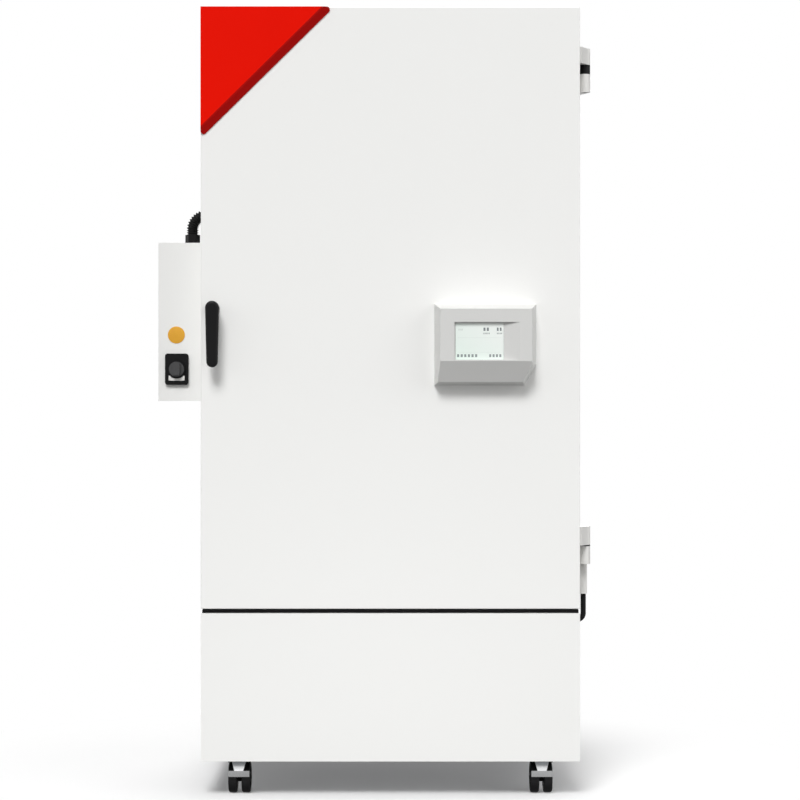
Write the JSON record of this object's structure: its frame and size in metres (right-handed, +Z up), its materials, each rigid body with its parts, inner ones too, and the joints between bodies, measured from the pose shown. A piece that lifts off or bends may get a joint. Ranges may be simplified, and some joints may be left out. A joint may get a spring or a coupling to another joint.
{
  "type": "environmental test chamber",
  "caption": "Tall floor-standing climatic chamber on swivel castors, with an insulated door, inner glass door, touch controller, side electrical box and cooling unit.",
  "frame": {"origin": "on the floor, under the middle of the whole box", "axes": "+Z up, the door faces -Y, +X towards the door's hinges"},
  "size_m": [1.0794, 0.86, 1.928],
  "materials": {
    "white_powder_coat": "satin",
    "stainless_steel": "satin",
    "zinc_steel": "satin",
    "foam": "matte",
    "silicone_gasket": "matte",
    "red_trim": "satin",
    "controller_grey": "satin",
    "screen_glass": "gloss",
    "board_green": "satin",
    "clear_glass": "gloss",
    "black_plastic": "satin",
    "dark_grey_plastic": "satin",
    "light_grey_cast": "satin",
    "copper": "satin",
    "aluminium_fins": "satin",
    "black_paint": "satin",
    "black_rubber": "matte",
    "castor_tyre": "satin",
    "bright_steel": "satin",
    "light_plastic": "satin",
    "white_silicone": "matte",
    "beige_plastic": "matte"
  },
  "bodies": {
    "root": {"outer_casing": "white_powder_coat", "rear_panel": "white_powder_coat", "rear_grille": "zinc_steel", "base_chassis": "zinc_steel", "base_front_panel": "white_powder_coat", "front_frame": "white_powder_coat", "cabinet_insulation": "foam", "chamber_liner": "stainless_steel", "air_walls": "stainless_steel", "rear_duct_panel": "stainless_steel", "evaporator": "aluminium_fins", "heater_coil": "stainless_steel", "circulation_fan_motor": "black_paint", "compressor": "black_paint", "condenser": "aluminium_fins", "condenser_fan_shroud": "black_paint", "refrigerant_pipes": "copper", "side_box": "white_powder_coat", "side_box_cover": "white_powder_coat", "terminal_rail": "beige_plastic", "switch_base": "black_plastic", "side_conduit": "black_rubber", "conduit_glands": "black_plastic", "hinge_brackets": "light_grey_cast", "hinge_pins": "black_plastic", "latch_keeper": "zinc_steel", "inner_door_mounts": "stainless_steel", "access_port": "stainless_steel", "castor_mounts": "zinc_steel", "cable_cover": "light_plastic", "door_cable": "black_rubber"},
    "door": {"door_shell": "white_powder_coat", "door_inner_panel": "stainless_steel", "door_insulation": "foam", "door_gasket": "silicone_gasket", "corner_trim": "red_trim", "controller_housing": "controller_grey", "controller_board": "board_green", "touch_screen": "screen_glass", "hinge_leaves": "light_grey_cast"},
    "handle": {"door_handle": "black_plastic", "latch_cam": "zinc_steel"},
    "inner_door": {"glass_door": "clear_glass", "glass_door_fittings": "stainless_steel"},
    "upper_shelf": {"shelf_upper": "stainless_steel"},
    "lower_shelf": {"shelf_lower": "stainless_steel"},
    "stopper": {"port_plug": "white_silicone"},
    "main_switch": {"switch_knob": "dark_grey_plastic"},
    "room_fan": {"circulation_fan": "stainless_steel"},
    "cooling_fan": {"condenser_fan": "black_plastic"},
    "castor_front_left": {"castor_housing_front_left": "black_plastic"},
    "wheels_front_left": {"castor_wheels_front_left": "castor_tyre"},
    "brake_front_left": {"brake_pedal_front_left": "bright_steel"},
    "castor_front_right": {"castor_housing_front_right": "black_plastic"},
    "wheels_front_right": {"castor_wheels_front_right": "castor_tyre"},
    "brake_front_right": {"brake_pedal_front_right": "bright_steel"},
    "castor_rear_left": {"castor_housing_rear_left": "black_plastic"},
    "wheels_rear_left": {"castor_wheels_rear_left": "castor_tyre"},
    "castor_rear_right": {"castor_housing_rear_right": "black_plastic"},
    "wheels_rear_right": {"castor_wheels_rear_right": "castor_tyre"}
  },
  "joints": [
    {"name": "door_swing", "type": "hinge", "parent": "root", "child": "door", "pos_m": [0.52575, -0.304, 1.2], "axis": [0, 0, 1], "range_deg": [0, 110]},
    {"name": "handle_turn", "type": "hinge", "parent": "door", "child": "handle", "pos_m": [-0.38495, -0.37, 1.193], "axis": [0, -1, 0], "range_deg": [0, 90]},
    {"name": "inner_door_swing", "type": "hinge", "parent": "root", "child": "inner_door", "pos_m": [0.38475, -0.286, 1.203], "axis": [0, 0, 1], "range_deg": [0, 110]},
    {"name": "upper_shelf_slide", "type": "slide", "parent": "root", "child": "upper_shelf", "axis": [0, -1, 0], "range_m": [0, 0.125]},
    {"name": "lower_shelf_slide", "type": "slide", "parent": "root", "child": "lower_shelf", "axis": [0, -1, 0], "range_m": [0, 0.125]},
    {"name": "stopper_pull", "type": "slide", "parent": "root", "child": "stopper", "axis": [-1, 0, 0], "range_m": [0, 0.115]},
    {"name": "main_switch_turn", "type": "hinge", "parent": "root", "child": "main_switch", "pos_m": [-0.49275, -0.17, 1.0474], "axis": [0, -1, 0], "range_deg": [0, 90]},
    {"name": "room_fan_spin", "type": "hinge", "parent": "root", "child": "room_fan", "pos_m": [0.04675, 0.242, 1.508], "axis": [0, -1, 0], "continuous": true},
    {"name": "cooling_fan_spin", "type": "hinge", "parent": "root", "child": "cooling_fan", "pos_m": [0.04675, 0.294, 0.221], "axis": [0, -1, 0], "continuous": true},
    {"name": "swivel_front_left", "type": "hinge", "parent": "root", "child": "castor_front_left", "pos_m": [-0.32525, -0.27, 0.088], "axis": [0, 0, 1], "continuous": true},
    {"name": "roll_front_left", "type": "hinge", "parent": "castor_front_left", "child": "wheels_front_left", "pos_m": [-0.32525, -0.29, 0.0375], "axis": [1, 0, 0], "continuous": true},
    {"name": "brake_press_front_left", "type": "hinge", "parent": "castor_front_left", "child": "brake_front_left", "pos_m": [-0.32525, -0.324, 0.0802], "axis": [1, 0, 0], "range_deg": [0, 8]},
    {"name": "swivel_front_right", "type": "hinge", "parent": "root", "child": "castor_front_right", "pos_m": [0.41875, -0.27, 0.088], "axis": [0, 0, 1], "continuous": true},
    {"name": "roll_front_right", "type": "hinge", "parent": "castor_front_right", "child": "wheels_front_right", "pos_m": [0.41875, -0.29, 0.0375], "axis": [1, 0, 0], "continuous": true},
    {"name": "brake_press_front_right", "type": "hinge", "parent": "castor_front_right", "child": "brake_front_right", "pos_m": [0.41875, -0.324, 0.0802], "axis": [1, 0, 0], "range_deg": [0, 8]},
    {"name": "swivel_rear_left", "type": "hinge", "parent": "root", "child": "castor_rear_left", "pos_m": [-0.32525, 0.33, 0.088], "axis": [0, 0, 1], "continuous": true},
    {"name": "roll_rear_left", "type": "hinge", "parent": "castor_rear_left", "child": "wheels_rear_left", "pos_m": [-0.32525, 0.35, 0.0375], "axis": [1, 0, 0], "continuous": true},
    {"name": "swivel_rear_right", "type": "hinge", "parent": "root", "child": "castor_rear_right", "pos_m": [0.41875, 0.33, 0.088], "axis": [0, 0, 1], "continuous": true},
    {"name": "roll_rear_right", "type": "hinge", "parent": "castor_rear_right", "child": "wheels_rear_right", "pos_m": [0.41875, 0.35, 0.0375], "axis": [1, 0, 0], "continuous": true}
  ],
  "couplings": [
    {"joint": "inner_door_swing", "follows": "door_swing", "ratio": 1},
    {"joint": "upper_shelf_slide", "follows": "door_swing", "m_per_rad": 0.065},
    {"joint": "lower_shelf_slide", "follows": "door_swing", "m_per_rad": 0.065}
  ]
}
